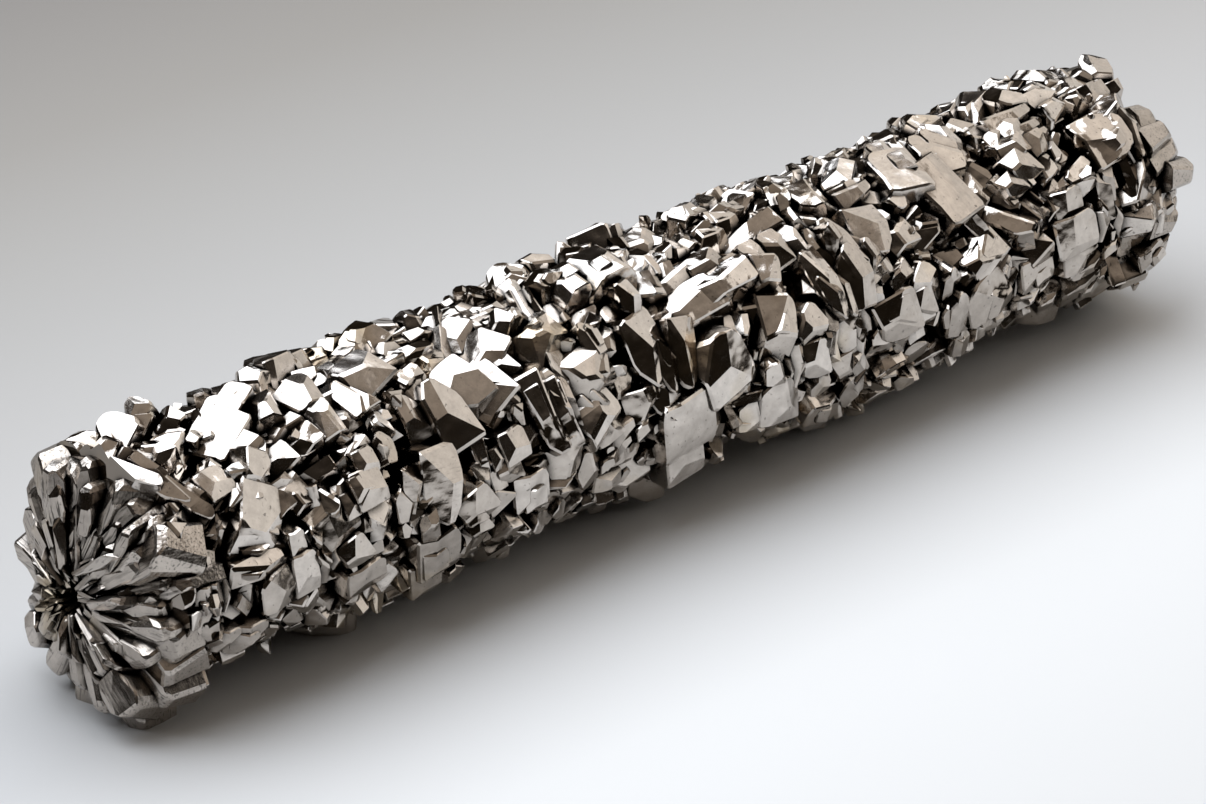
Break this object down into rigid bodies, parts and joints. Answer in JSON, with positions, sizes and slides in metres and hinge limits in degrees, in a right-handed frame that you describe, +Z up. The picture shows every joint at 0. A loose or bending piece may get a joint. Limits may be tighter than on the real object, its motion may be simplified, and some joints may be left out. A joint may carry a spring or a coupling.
{
  "type": "titanium crystal bar",
  "caption": "Rod of grown titanium crystals: a rough bar of interlocked bright metal facets with a radial broken face at each end, lying on its side.",
  "frame": {"origin": "middle of the bar's length, under its axis, on the plane that it rests on", "axes": "+X along the bar towards the thicker end, +Z up"},
  "size_m": [0.14, 0.0292, 0.0281],
  "materials": {
    "titanium": "bare as-grown titanium: bright mirror-like crystal faces, slightly warm grey, satin where the facets are fine"
  },
  "bodies": {
    "root": {"crystal_bar": "titanium"}
  },
  "joints": []
}
